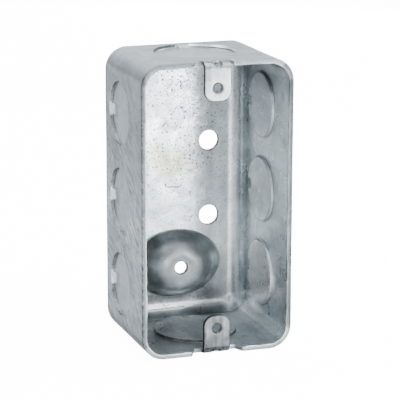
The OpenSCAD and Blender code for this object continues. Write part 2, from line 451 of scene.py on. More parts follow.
def end_wall(sz):
    flat = end_map(sz)

    def place(x, y, off):
        if abs(x) < 3 and abs(y - (YC + YF) / 2) < 2.4:
            return flat(x, y, off + dent(x, y))
        return flat(x, y, off)
    a = EAR_HALF + NOTCH_W
    pts = [(-FX, RIM), (-a - 0.9, RIM), (-a + 0.6, RIM + NOTCH_D), (-EAR_HALF, RIM + NOTCH_D), (-EAR_HALF, EAR_TIP_Y),
           (EAR_HALF, EAR_TIP_Y), (EAR_HALF, RIM + NOTCH_D), (a - 0.6, RIM + NOTCH_D), (a + 0.9, RIM), (FX, RIM)]
    radii = [0, 1.1, 0.9, 0.6, EAR_TIP_R, EAR_TIP_R, 0.6, 0.9, 1.1, 0]
    right = a + 1.5
    if sz > 0:                                   # only a slit on the upper ear's right
        pts[7:9] = [(EAR_HALF + SLIT_W, RIM + NOTCH_D), (EAR_HALF + SLIT_W, RIM)]
        radii[6:9] = [0.2, 0.2, 0.5]
        right = EAR_HALF + SLIT_W + 0.3
    edge = path(pts, radii, 0.6)
    border_samples = [(u - nu * EDGE, v - nv * EDGE, nu, nv) for u, v, nu, nv in edge]
    rim_line = [(u, v) for u, v, _, _ in border_samples]

    def burr(u, v):
        s = smooth(((u - right) if u > 0 else (-u - a - 1.5)) / 2)
        return burr_at(u, sz * HL) * s
    strip(border_samples, place, burr=burr)
    thread_strip(0, EAR_HOLE_Y, EAR_R, 72, place, depth=0.28)
    for outer in (True, False):
        r = END_R if outer else END_R + BOSS
        tilt = 0.06 * sz
        l1, l2 = ko_rings(place, 0, END_Y, r, outer, tilt, outer == (sz > 0))
        ear_ring = hole_loop(0, EAR_HOLE_Y, EAR_R + EDGE, 72)
        border = rim_line + [(FX, y) for y in reversed(YS[:-1])] + [(x, YB) for x in reversed(XS[:-1])] + \
            [(-FX, y) for y in YS[1:-1]]
        ro, ri = r + (0.85 if outer else 0.7), r - 3.9
        poly = [Vector(p) for p in rim_line]

        def in_material(u, v):
            if v > RIM + NOTCH_D + EDGE + 0.02:
                return True
            if abs(u) < EAR_HALF - EDGE + 0.01:
                tip = EAR_TIP_Y + EDGE
                rr = EAR_TIP_R - EDGE
                if v < tip + rr:
                    du = abs(u) - (EAR_HALF - EAR_TIP_R)
                    if du > 0:
                        return math.hypot(du, v - (EAR_TIP_Y + EAR_TIP_R)) < rr + 0.01
                    return v > tip - 0.01
                return True
            return inside(u, v)

        def inside(u, v):
            n, hit = len(poly), False
            # the rim line closed far behind
            ring = rim_pts
            m = len(ring)
            j = m - 1
            for i in range(m):
                xi, yi = ring[i]
                xj, yj = ring[j]
                if (yi > v) != (yj > v) and u < (xj - xi) * (v - yi) / (yj - yi) + xi:
                    hit = not hit
                j = i
            return hit
        rim_pts = rim_line + [(FX, YB), (-FX, YB)]

        def bad(u, v):
            d = math.hypot(u, v - END_Y)
            if ri - 0.55 < d < ro + 0.55:
                return True
            if math.hypot(u, v - EAR_HOLE_Y) < EAR_R + EDGE + 0.3:
                return True
            if v < RIM + NOTCH_D + 1.2:
                if not inside(u, v):
                    return True
                return any((Vector((u, v)) - q).length < 0.34 for q in poly)
            return False

        def keep(u, v):
            d = math.hypot(u, v - END_Y)
            if ri * 1.0 < d < ro * 1.0:
                return False
            if math.hypot(u, v - EAR_HOLE_Y) < (EAR_R + EDGE) * 1.0:
                return False
            return inside(u, v)

        def put(u, v):
            h = STEP * (1 + tilt * (v - END_Y) / r * -0.5) if math.hypot(u, v - END_Y) < ri + 0.01 else 0
            return vert(*place(u, v, (0 if outer else T) + h))
        free = grid_points(-FX + 0.4, FX - 0.4, RIM + 3.0, YB - 0.4, 1.15, bad)
        free += grid_points(-FX + 0.4, FX - 0.4, RIM + EDGE + 0.3, RIM + 3.0, 0.8,
                            lambda u, v: bad(u, v) or abs(u) < EAR_HALF + 0.4)
        mid = (YC + YF) / 2
        free += grid_points(-EAR_HALF + 0.5, EAR_HALF - 0.5, EAR_TIP_Y + 0.5, RIM + 3.0, 0.5,
                            lambda u, v: bad(u, v) or abs(u) < 2.4 and abs(v - mid) < 1.9)
        free += grid_points(-2.4, 2.4, mid - 1.9, mid + 1.9, 0.22, bad)
        fill([l1, l2, ear_ring, border], free, keep, put)


# ---- upright corners and the back bend
def corners():
    for sx in (-1, 1):
        for sz in (-1, 1):
            place = corner_map(sx, sz)
            for off in (0, T):
                quads([[vert(*place(a, y, off)) for y in YS] for a in AS])
            strip([(a, RIM + EDGE, 0, -1) for a in AS], place,
                  burr=lambda a, y: burr_at(sx * (FX + CR * math.cos(math.radians(a))),
                                            sz * (FZ + CR * math.sin(math.radians(a)))))
            for off in (0, T):
                rows = []
                for a in AS:
                    ca, sa = math.cos(math.radians(a)), math.sin(math.radians(a))
                    n = (sx * ca, sz * sa)
                    c = (sx * (FX + (CR - BR) * ca), sz * (FZ + (CR - BR) * sa))
                    c = (sx * FX + n[0] * (CR - BR), sz * FZ + n[1] * (CR - BR))
                    rows.append([vert(*bend_point(c, n, t, off)) for t in TS])
                quads(rows)
    for off in (0, T):
        for sx in (-1, 1):
            quads([[vert(*bend_point((sx * (HW - BR), z), (sx, 0), t, off)) for t in TS] for z in ZS])
        for sz in (-1, 1):
            quads([[vert(*bend_point((x, sz * (HL - BR)), (0, sz), t, off)) for t in TS] for x in XS])


# ---- back with its two holes and the ground dome
def dome_profile():
    """(u, height, tilt) from the dome's foot to its flat: u is the half height of the oval there."""
    out = []
    x1 = FLAT_R + DOME_H * math.sin(math.radians(60))
    y1 = DOME_H * math.cos(math.radians(60))
    for k in range(6):
        h = y1 * k / 5
        out.append((x1 + (y1 - h) / math.tan(math.radians(60)), h, 60.0))
    for k in range(1, 15):
        t = 60 * (1 - k / 14)
        out.append((FLAT_R + DOME_H * math.sin(math.radians(t)),
                    DOME_H * math.cos(math.radians(t)), t))
    return out


DN = 144


def dome():
    prof = dome_profile()
    extra = lambda h: DOME_C * max(0.0, 1 - h / DOME_H) ** 1.0

    def ring(a, b, y, cut=0.0):
        line = []
        for k in range(DN):
            c, s = math.cos(2 * math.pi * k / DN), math.sin(2 * math.pi * k / DN)
            line.append(vert((a * c, y, DOME_Z + b * s), (0, 1, 0), cut))
        return line
    foot_b = prof[0][0]
    foot_a = foot_b + DOME_C
    # front skin: a small fillet at the foot, then the flank and the shoulder
    front = [ring(foot_a + 0.5, foot_b + 0.5, -T)]
    for e, h in [(0.22, 0.015), (0.06, 0.09), (-0.08, 0.24)]:
        front.append(ring(foot_a + e, foot_b + e, -T - h, 0.0))
    for b, h, t in prof[1:]:
        if h < 0.5:
            continue
        front.append(ring(b + extra(h), b, -T - h))
    for b in (3.9, 3.4, GROUND_R + EDGE + 0.2):
        front.append(ring(b, b, -T - DOME_H - 0.0))
    last = ring(GROUND_R + EDGE, GROUND_R + EDGE, -T - DOME_H)
    front.append(last)
    for r in front:
        r.append(r[0])
    quads(front)
    # back skin: the same shell, one sheet behind
    back = [ring(foot_a + 0.5, foot_b + 0.5, 0.0)]
    mouth = []
    for b, h, t in prof:
        s, c = math.sin(math.radians(t)), math.cos(math.radians(t))
        bb, hh = b - T * s, h - T * c + T        # height above the back face
        ta = math.atan2(1, 1 / math.tan(math.radians(t)) + DOME_C / DOME_H) if t > 0 else 0
        aa = b + extra(h) - T * math.sin(ta)
        mouth.append((aa, bb, hh))
    slope_b = (mouth[0][1] - mouth[4][1]) / (mouth[4][2] - mouth[0][2])
    slope_a = (mouth[0][0] - mouth[4][0]) / (mouth[4][2] - mouth[0][2])
    a0, b0 = mouth[0][0] + slope_a * mouth[0][2], mouth[0][1] + slope_b * mouth[0][2]
    for e, h in [(0.75, 0.01), (0.4, 0.08), (0.12, 0.24), (-0.1, 0.5)]:
        back.append(ring(a0 + e, b0 + e, -h))
    for aa, bb, hh in mouth:
        if hh > 0.95:
            back.append(ring(aa, bb, -hh))
    for b in (3.9, 3.4, GROUND_R + EDGE + 0.2, GROUND_R + EDGE):
        back.append(ring(b, b, -DOME_H))
    for r in back:
        r.append(r[0])
    quads(back)

    def place(u, v, off):
        return (u, -DOME_H - off, DOME_Z + v), (0, 1, 0)
    thread_strip(0, 0, GROUND_R, DN, place, depth=0.3)
    return [(( foot_a + 0.5) * math.cos(2 * math.pi * k / DN),
             DOME_Z + (foot_b + 0.5) * math.sin(2 * math.pi * k / DN)) for k in range(DN)], foot_a + 0.5, foot_b + 0.5


def back():
    oval, oa, ob = dome()
    holes = [(HOLE_X, HOLE_UP + HOLE_Z), (HOLE_X, HOLE_UP - HOLE_Z)]
    n = 80
    for u, v in holes:
        hole_strip(u, v, HOLE_R, n, base_map)
    border = []
    r = CR - BR
    for cx, cz, a0 in ((FX, FZ, 0), (-FX, FZ, 90), (-FX, -FZ, 180), (FX, -FZ, 270)):
        for a in AS[:-1]:
            t = math.radians(a0 + a)
            border.append((cx + r * math.cos(t), cz + r * math.sin(t)))
        if a0 == 0:
            border += [(x, FZ + r) for x in reversed(XS[1:])]
        elif a0 == 90:
            border += [(-FX - r, z) for z in reversed(ZS[1:])]
        elif a0 == 180:
            border += [(x, -FZ - r) for x in XS[:-1]]
        else:
            border += [(FX + r, z) for z in ZS[:-1]]

    def bad(u, v):
        if (u / (oa + 0.6)) ** 2 + ((v - DOME_Z) / (ob + 0.6)) ** 2 < 1:
            return True
        return any(math.hypot(u - a, v - b) < HOLE_R + EDGE + 0.55 for a, b in holes)

    def keep(u, v):
        if (u / oa) ** 2 + ((v - DOME_Z) / ob) ** 2 < 1.0:
            return False
        return not any(math.hypot(u - a, v - b) < (HOLE_R + EDGE) * 1.0 for a, b in holes)
    loops = [border, oval] + [hole_loop(u, v, HOLE_R + EDGE, n) for u, v in holes]
    free = grid_points(-FX - r + 0.5, FX + r - 0.5, -FZ - r + 0.5, FZ + r - 0.5, 1.1, bad)
    for off in (0, T):
        fill(loops, free, keep, lambda u, v: vert(*base_map(u, v, off)))


def wave(p):
    """How far the drawn sheet lies inside its ideal place, in millimetres: never less than none."""
    a = noise.noise(Vector((p.x * 0.05, p.y * 0.05, p.z * 0.05)))
    b = noise.noise(Vector((p.x * 0.15 + 7.3, p.y * 0.15, p.z * 0.15)))
    return max(0.0, 0.09 + 0.09 * a + 0.014 * b)


def bump(x, a, b, soft):
    """1 between a and b, fading to 0 over soft on both sides."""
    return smooth((x - a) / soft + 1) * smooth((b - x) / soft + 1)


def painted_light_and_marks(p, n):
    """Factor on the zinc's colour at a place: painted shade in the folds, recesses, rims and on parts turned from the
    lamps, painted highlights on bends, edges and the dome, with random mottling and a few dark spots.
    """
    t = 1.0
    x, y, z = p
    # painted shade towards the top and around the middle of the right wall's inside, painted highlight bands and on
    # the lower knockout, random mottling
    if n[0] > 0.6 and x < 26.3:                       # inside of the right wall
        t *= 1 - 0.49 * smooth((z - 33) / 9)
        t *= 1 + 0.34 * bump(z, -21, -11, 4)
        t *= 1 + 0.20 * bump(z, 13, 18, 4)
        if math.hypot(z + SIDE_P, y - SIDE_Y) < SIDE_R:
            t *= 1.52
        t *= 1 - 0.08 * bump(z, -5, 5, 5)
        t *= 1 + 0.20 * smooth((-20 - z) / 8)
        t *= 1 + 0.30 * smooth((-37 - z) / 5)
        t *= 1 + 0.10 * noise.noise(Vector((y * 0.08, 6.1, z * 0.08)))
    # painted light at the upper left of the back's inner face, painted shade in a band at x 10 to 12.5, towards the
    # right and at the lower right
    if n[1] > 0.9 and -2.2 < y < -1.1:                # the back's inner face
        t *= 1 + 0.14 * smooth((6 - x) / 6) * smooth((z + 16) / 10)
        t *= 1 + 0.20 * smooth((z - 4) / 14) * smooth((10 - x) / 4)
        t *= 1 - 0.36 * bump(x, 10, 12.5, 4)
        t *= 1 - 0.14 * smooth((x - 14.5) / 3)
        t *= 1 - 0.12 * smooth((x - 8) / 3) * smooth((-26 - z) / 4)
    # painted shade over the top of the dome, with slight random mottling
    if n[1] > 0.9 and y < -4.5 and abs(x) < 16:       # top of the dome
        t *= 0.60 + 0.05 * noise.noise(Vector((x * 0.5, y * 0.5, z * 0.5)))
    # the dome: painted shade and painted highlight rings round its flat, painted shade on its upper and left flanks, a
    # painted highlight low on its lower flank
    if y < -1.9 and n[1] > 0.4 and math.hypot(x / 16.7, (z - DOME_Z) / 12.4) < 1.02:
        q = math.hypot(x / 1.1, z - DOME_Z)
        t *= 1 - 0.42 * bump(q, 3.9, FLAT_R, 1.6)
        t *= 1 + 0.45 * bump(q, FLAT_R + 0.5, 7.0, 1.5)
        t *= 1 - 0.36 * smooth((y + 5.0) / 0.6) * smooth((z - DOME_Z - 1) / 4)
        t *= 1 - 0.30 * bump(q, 5.6, 7.4, 1.2) * smooth((z - DOME_Z - 2) / 3)
        t *= 1 - 0.30 * smooth((-x - 4.5) / 3)
        t *= 1 - 0.40 * smooth((-x - 5.5) / 3)
        t *= 1 + 0.40 * bump(y, -7.8, -5.4, 0.5) * smooth((DOME_Z - 5 - z) / 3)
    # painted highlight along the start of the lower back bend, painted shade further up it
    if z < -43.5 and -7.5 < y < -1.7 and abs(x) < 20 and n[1] > 0.02:
        a = math.degrees(math.acos(min(1, max(0, n[1]))))
        low = 45 - 15 * smooth((x - 0) / 10)             # where the shine ends
        t *= 1 + 0.9 * smooth((a - 11) / 5) * smooth((low - a) / 6)
        t *= 1 - (0.36 + 0.16 * smooth((x + 2) / 6)) * smooth((a - low + 6) / 9) * smooth((19 - x) / 2)
    q = math.dist(p, (19.0, -1.9, -45.5))             # painted highlights at two spots on the lower right corner of the back bend
    t *= 1 + 1.3 * smooth((1.7 - q) / 1.0)
    q = math.dist(p, (21.6, -2.7, -44.4))
    t *= 1 + 0.9 * smooth((1.5 - q) / 1.0)
    if x > 13 and z < -42 and -7.5 < y < -5.6:        # painted shade in a thin line round the lower right corner of the back
        t *= 1 - 0.45 * bump(y, -7.0, -6.3, 0.4)
    # painted shade on the inside of the lower wall, darker towards the left and a little lighter to the right
    if -49.9 < z < -47.9 and -47 < y < -7.4:          # inside of the lower wall
        t *= 1 - 0.47 * smooth((6 - x) / 12)
        t *= 1 + 0.04 * smooth((x - 4) / 8)
    # bright and dark lines along the bend: partly draw marks, partly painted highlight streaks
    if n[0] > 0.08 and n[1] > 0.05 and x > 19 and -7.6 < y < -1.7:
        a = math.degrees(math.asin(min(1, n[0])))     # fine lines drawn along the bend
        t *= 1 + 0.20 * noise.noise(Vector((a * 0.11, 0.7, z * 0.012)))
    # painted highlight band along the right back bend, slightly darker beside it
    if n[1] > 0.2 and n[0] > 0.05 and x < 24.5 and y > -4.5:
        t *= 0.86 + (0.24 + 0.30 * smooth((2 - z) / 12)) * bump(x, 19.9, 21.2, 0.8)
    # painted shade over the lower ear and a painted highlight on two strips near its sides; the noise adds brushed
    # streaks
    if z < 0 and abs(x) < 4.8 and y < -45.6:          # the lower ear, brushed along its length
        s = noise.noise(Vector((x * 1.3, 2.2, z * 0.3))) + 0.6 * noise.noise(Vector((x * 0.5, 5.1, z * 0.5)))
        t *= 0.33 * (1 + 0.40 * s)
        t *= 1 + 0.5 * bump(abs(x), 2.6, 3.6, 0.8) * bump(z, -44, -39, 2)
    # painted light across the middle of the left wall's outside, painted shade higher up and at the bottom, random
    # mottling
    if abs(x) > 26.3 and x < 0 and abs(z) < 46:       # outside of the left wall
        t *= 0.86 + 0.26 * bump(z, -7, 4, 5)
        t *= 1 - 0.14 * bump(z, 19, 29, 4)
        t *= 1 - 0.10 * smooth((-34 - z) / 6)
        t *= 1 + 0.09 * noise.noise(Vector((y * 0.10, 3.3, z * 0.10)))
    # painted shade on the ties of the left wall's knockouts
    if x < -25.2 and y > SIDE_Y + 4:                  # ties of the left wall's knockouts
        for k in (-1, 0, 1):
            if abs(z - k * SIDE_P) < 2.6:
                t *= 1 - 0.32 * smooth((SIDE_Y + SIDE_R - 2.2 - y) / 1.0)
    # painted shade towards the middle of the top wall's outside, random mottling
    if z > 50.6 and abs(x) < 24:                      # outside of the top wall
        t *= 1 - 0.13 * smooth((24 - abs(x)) / 4)
        t *= 1 + 0.09 * noise.noise(Vector((x * 0.07 + 4, y * 0.16, 1.9))) + 0.05 * noise.noise(Vector((x * 0.25, y * 0.4, 7.9)))
    # painted shade in the dent of the upper ear
    if z > 0 and abs(x) < 3:                          # dent of the upper ear
        q = math.dist((x / 1.2, y, z), (0, YC - 0.72 * BO, ZC + 0.72 * BO))
        t *= 1 - 0.62 * smooth((1.75 - q) / 0.5)
    # painted shade over the upper ear, random mottling
    if z > 0 and abs(x) < 4.8 and y < -45.6:          # the upper ear
        t *= 0.80 * (1 + 0.20 * noise.noise(Vector((x * 0.9, 4.2, z * 0.9))) + 0.15 * noise.noise(Vector((x * 2.3, 1.2, z * 1.4))))
    # painted shade on the walls of the mounting holes
    if y > -1.9 and abs(z) < 20 and x > 2:             # walls of the mounting holes
        t *= 1 - 0.66 * smooth((HOLE_R + EDGE - min(math.dist((x, z), h) for h in WALL_HOLES)) / (0.7 * EDGE))
    # painted light beside the slit, lifting its dark mouth
    if y < -44 and z > 48 and 4.5 < x < 6.2:          # beside the slit
        t *= 1.6
    # painted shade on the rim at the top left
    if y < -46.9 and z > 44 and x < -2.5:             # rim at the top left
        t *= 0.66
    # painted shade on the right rim, except near its ends
    if y < -46.9 and n[0] > 0.6:                      # right rim
        t *= 1 - 0.63 * smooth((44.5 - abs(z)) / 2.0)
    # painted shade on the left rim, with a painted highlight along a thin line of it
    if y < -46.9 and n[0] < -0.6:                     # left rim
        t *= 0.66
        t *= 1 + 0.9 * smooth((-25.75 - x) / -0.25) * smooth((x + 25.9) / 0.2)
    for cx, cy, cz, r, k in ((26.0, -43.5, 20.5, 2.4, 0.25), (26.0, -41.5, 36.0, 2.0, 0.22), (26.0, -44.5, -33.0, 1.6, 0.2),
                             (26.0, -43.8, 3.0, 1.1, 0.25), (26.0, -44.0, -20.0, 1.0, 0.22)):
        q = math.dist(p, (cx, cy, cz)) + 0.8 * noise.noise(Vector((y, z, 0.5)) * 0.9)
        t *= 1 - k * smooth((r - q) / (0.5 * r))
    for cx, cz, r, k in ((-25.6, 32.5, 0.7, 0.5), (-25.6, -45.5, 0.9, 0.6), (-25.6, -3.0, 0.4, 0.35)):
        t *= 1 - k * smooth((r - math.dist(p, (cx, -47.4, cz))) / (0.6 * r))
    return t


def make_box():
    long_wall(-1)
    long_wall(1)
    end_wall(-1)
    end_wall(1)
    corners()
    back()
    co = []
    for p, n in zip(V, N):
        q = p - n * wave(p)
        # the rim isn't quite level
        k = smooth(1 - (p.y - RIM) / 5.0) if abs(n.y) < 0.5 else 0.0
        if k:
            q.y += k * (0.1 + 0.13 * noise.noise(Vector((p.x * 0.07, 1.7, p.z * 0.07))))
        co.append(q * MM)
    bm = bmesh.new()
    cut = bm.verts.layers.float.new("cut")
    shade = bm.verts.layers.float.new("painted_light_and_marks")
    bv = [bm.verts.new(c) for c in co]
    for b, a, g, p, n in zip(bv, A, G, V, N):
        b[cut] = a
        # painted shade on the left cut side of both ears
        b[shade] = painted_light_and_marks(p, n) * g * (0.35 if a > 0.5 and abs(p.x) < 4.9 and p.y < -45.2 and p.x < 0 else 1.0)
    bm.verts.ensure_lookup_table()
    for f in F:
        if len(set(f)) == len(f):
            bm.faces.new([bv[i] for i in f])
    bmesh.ops.remove_doubles(bm, verts=bm.verts, dist=3e-6)
    loose = [v for v in bm.verts if not v.link_faces]
    bmesh.ops.delete(bm, geom=loose, context="VERTS")
    bmesh.ops.recalc_face_normals(bm, faces=bm.faces)
    open_edges = [e for e in bm.edges if len(e.link_faces) != 2]
    print("sheet:", len(bm.verts), "vertices", len(bm.faces), "faces", len(open_edges), "open edges",
          "volume", round(bm.calc_volume() * 1e9, 1))
    for e in open_edges[:12]:
        print("  open", [tuple(round(x * 1000, 2) for x in v.co) for v in e.verts], len(e.link_faces))
    me = bpy.data.meshes.new("box_sheet")
    bm.to_mesh(me)
    bm.free()
    for p in me.polygons:
        p.use_smooth = True
    me.set_sharp_from_angle(angle=math.radians(38))
    o = bpy.data.objects.new("box_sheet", me)
    bpy.context.scene.collection.objects.link(o)
    w = o.modifiers.new("normals", "WEIGHTED_NORMAL")
    w.keep_sharp = True
    return o


sheet = make_box()
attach(sheet, "root")
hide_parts("box")


# ---------------------------------------------------------------- stage
def plain_material(name, colour, rough):
    m = bpy.data.materials.new(name)
    m.use_nodes = True
    b = m.node_tree.nodes["Principled BSDF"]
    b.inputs["Base Color"].default_value = (*colour, 1)
    b.inputs["Roughness"].default_value = rough
    return m


def make_floor():
    z = cad_lo[2]
    me = bpy.data.meshes.new("floor")
    s = 3.0
    me.from_pydata([(-s, -s, z), (s, -s, z), (s, s, z), (-s, s, z)], [], [(0, 1, 2, 3)])
    o = bpy.data.objects.new("floor", me)
    m = plain_material("floor", (0.95, 0.95, 0.95), 0.9)
    b = m.node_tree.nodes["Principled BSDF"]
    b.inputs["Emission Color"].default_value = (1, 1, 1, 1)
    b.inputs["Emission Strength"].default_value = 14.0
    me.materials.append(m)
    bpy.context.scene.collection.objects.link(o)
    # the white table lights nothing by itself: the lamps below stand in for its glow
    o.visible_glossy = False
    o.visible_diffuse = False
    o.visible_shadow = False


make_floor()

world = bpy.data.worlds.new("studio")
bpy.context.scene.world = world
world.use_nodes = True
bg = world.node_tree.nodes["Background"]
bg.inputs["Color"].default_value = (1, 1, 1, 1)
bg.inputs["Strength"].default_value = 0.06


def white_beyond():
    """The studio behind the table is as white as the table."""
    t = world.node_tree
    seen = t.nodes.new("ShaderNodeBackground")
    seen.inputs["Strength"].default_value = 15.0
    path = t.nodes.new("ShaderNodeLightPath")
    mix = t.nodes.new("ShaderNodeMixShader")
    t.links.new(path.outputs["Is Camera Ray"], mix.inputs[0])
    t.links.new(bg.outputs[0], mix.inputs[1])
    t.links.new(seen.outputs[0], mix.inputs[2])
    t.links.new(mix.outputs[0], t.nodes["World Output"].inputs["Surface"])


white_beyond()


def area(name, pos, target, size, power, colour=(1, 1, 1)):
    d = bpy.data.lights.new(name, "AREA")
    d.shape = "RECTANGLE"
    d.size, d.size_y = size
    d.energy = power
    d.color = colour
    o = bpy.data.objects.new(name, d)
    o.location = pos
    o.rotation_mode = "QUATERNION"
    o.rotation_quaternion = (Vector(target) - Vector(pos)).to_track_quat("-Z", "Y")
    o.visible_camera = False
    bpy.context.scene.collection.objects.link(o)
    return o


CENTRE = Vector((0, -0.024, 0))
# large soft boxes round the box: azimuth from the front towards the right, elevation, watts
COOL, SKY = (0.965, 1.01, 1.035), (0.94, 1.0, 1.085)
for k, (az, el, size, watts) in enumerate([
        (-150, -12, 0.42, 0.50), (150, 12, 0.42, 0.75), (30, 42, 0.42, 1.06), (-180, 12, 0.42, 0.73),
        (-30, 42, 0.42, 0.81), (-180, 42, 0.42, 0.80), (150, -12, 0.42, 3.0), (60, 42, 0.42, 2.41),
        (-150, 12, 0.42, 0.25), (95, 20, 0.42, 6.0), (10, 76, 0.42, 3.6), (19, 16, 0.22, 0.62),
        (-19, -14, 0.42, 0.55), (-131, -14, 0.26, 0.55), (10, -72, 0.80, 2.40), (-1, 5, 0.24, 0.12), (25, 36, 0.13, 0.42),
        (-18, 21, 0.16, 0.30), (-125, 56, 0.42, 2.4), (150, 48, 0.42, 0.8), (178, -26, 0.42, 0.30)]):
    a, e = math.radians(az), math.radians(el)
    v = Vector((math.sin(a) * math.cos(e), -math.cos(a) * math.cos(e), math.sin(e)))
    area("box_%d" % k, CENTRE + v * 0.8, CENTRE, (size, size), watts, SKY if abs(az) > 120 else COOL)
# small ones low in front, as the glow of a white table
for k, (x, y, z, watts) in enumerate([
        (0.18, -0.45, -0.09, 0.60), (0.0, -0.45, -0.09, 0.292), (0.18, -0.30, -0.03, 0.258),
        (-0.10, -0.18, -0.09, 0.077), (0.32, -0.18, -0.09, 0.128)]):
    area("table_%d" % k, (x, y, z), CENTRE, (0.12, 0.12), watts, COOL)

# ---------------------------------------------------------------- metal
class Tree:
    """Short names for the nodes of one material."""
    def __init__(self, name):
        self.m = bpy.data.materials.new(name)
        self.m.use_nodes = True
        self.t = self.m.node_tree
        self.bsdf = self.t.nodes["Principled BSDF"]
        geo = self.t.nodes.new("ShaderNodeTexCoord")
        self.mm = self.vec("MULTIPLY", geo.outputs["Object"], (1000, 1000, 1000))
        s = self.t.nodes.new("ShaderNodeSeparateXYZ")
        self.link(self.mm, s.inputs[0])
        self.x, self.y, self.z = s.outputs

    def link(self, a, b):
        self.t.links.new(a, b)

    def put(self, value, socket):
        if isinstance(value, bpy.types.NodeSocket):
            self.link(value, socket)
        else:
            socket.default_value = value

    def vec(self, op, a, b):
        n = self.t.nodes.new("ShaderNodeVectorMath")
        n.operation = op
        self.put(a, n.inputs[0])
        self.put(b, n.inputs[1])
        return n.outputs[0]

    def math(self, op, a, b=0.0, clamp=False):
        n = self.t.nodes.new("ShaderNodeMath")
        n.operation = op
        n.use_clamp = clamp
        self.put(a, n.inputs[0])
        self.put(b, n.inputs[1])
        return n.outputs[0]

    def turned(self, angles, scale, shift=(0, 0, 0)):
        """The place in millimetres, turned by angles in degrees and then stretched."""
        n = self.t.nodes.new("ShaderNodeVectorRotate")
        n.rotation_type = "EULER_XYZ"
        self.link(self.mm, n.inputs["Vector"])
        n.inputs["Rotation"].default_value = [math.radians(a) for a in angles]
        v = self.vec("MULTIPLY", n.outputs[0], scale)
        return self.vec("ADD", v, shift)

    def noise(self, size, detail=2.0, rough=0.5, warp=0.0, at=None, seed=0.0):
        n = self.t.nodes.new("ShaderNodeTexNoise")
        n.noise_dimensions = "3D"
        v = at if at is not None else self.mm
        if seed:
            v = self.vec("ADD", v, (seed * 13.7, seed * 7.1, seed * 3.3))
        self.link(v, n.inputs["Vector"])
        n.inputs["Scale"].default_value = 1.0 / size
        n.inputs["Detail"].default_value = detail
        n.inputs["Roughness"].default_value = rough
        n.inputs["Distortion"].default_value = warp
        return n.outputs["Fac"]

    def fit(self, v, a, b, lo, hi, soft=False):
        n = self.t.nodes.new("ShaderNodeMapRange")
        n.interpolation_type = "SMOOTHSTEP" if soft else "LINEAR"
        n.clamp = True
        self.put(v, n.inputs["Value"])
        for k, q in zip(("From Min", "From Max", "To Min", "To Max"), (a, b, lo, hi)):
            n.inputs[k].default_value = q
        return n.outputs[0]

    def cells(self, size, at=None):
        n = self.t.nodes.new("ShaderNodeTexVoronoi")
        n.feature = "F1"
        self.link(at if at is not None else self.mm, n.inputs["Vector"])
        n.inputs["Scale"].default_value = 1.0 / size
        return n

    def dots(self, pitch, share, r0, r1, seed):
        """1 in small round dots strewn over the X-Z plane: some of the cells have one, of radius r0 to r1."""
        c = self.t.nodes.new("ShaderNodeCombineXYZ")
        self.link(self.math("ADD", self.x, seed * 11.3), c.inputs[0])
        self.link(self.math("ADD", self.z, seed * 5.9), c.inputs[1])
        w = self.t.nodes.new("ShaderNodeTexVoronoi")
        w.voronoi_dimensions = "2D"
        w.feature = "F1"
        self.link(c.outputs[0], w.inputs["Vector"])
        w.inputs["Scale"].default_value = 1.0 / pitch
        s = self.t.nodes.new("ShaderNodeSeparateColor")
        self.link(w.outputs["Color"], s.inputs[0])
        d = self.math("MULTIPLY", w.outputs["Distance"], pitch)
        d = self.math("ADD", d, self.fit(self.noise(0.3, 1, seed=seed), 0.3, 0.7, -0.07, 0.07))
        r = self.fit(s.outputs[0], 0, 1, r0, r1)
        on = self.math("LESS_THAN", s.outputs[1], share)
        return self.math("MULTIPLY", on, self.fit(self.math("SUBTRACT", d, r), -0.07, 0.07, 1, 0, True))

    def all(self, *parts):
        out = parts[0]
        for p in parts[1:]:
            out = self.math("MULTIPLY", out, p)
        return out

    def tint(self, colour, by):
        """Colour times a grey factor."""
        n = self.t.nodes.new("ShaderNodeVectorMath")
        n.operation = "SCALE"
        self.put(colour, n.inputs[0])
        self.put(by, n.inputs["Scale"])
        return n.outputs[0]

    def mix(self, fac, a, b):
        n = self.t.nodes.new("ShaderNodeMix")
        n.data_type = "RGBA"
        self.put(fac, n.inputs[0])
        self.put(a, n.inputs[6])
        self.put(b, n.inputs[7])
        return n.outputs[2]

    def line(self, ax, u0, v0, u1, v1, width, soft=0.15):
        """1 on a thin straight mark from (u0, v0) to (u1, v1) in the X-Z plane (or Y-Z)."""
        du, dv = u1 - u0, v1 - v0
        n = math.hypot(du, dv)
        du, dv = du / n, dv / n
        a = self.math("SUBTRACT", self.x if ax == "x" else self.y, (u0 + u1) / 2)
        b = self.math("SUBTRACT", self.z, (v0 + v1) / 2)
        along = self.math("ABSOLUTE", self.math("ADD", self.math("MULTIPLY", a, du), self.math("MULTIPLY", b, dv)))
        across = self.math("ABSOLUTE", self.math("SUBTRACT", self.math("MULTIPLY", a, dv), self.math("MULTIPLY", b, du)))
        return self.math("MULTIPLY", self.fit(across, width, width + soft, 1, 0, True),
                         self.fit(along, n / 2 - 0.6, n / 2 + 0.3, 1, 0, True))


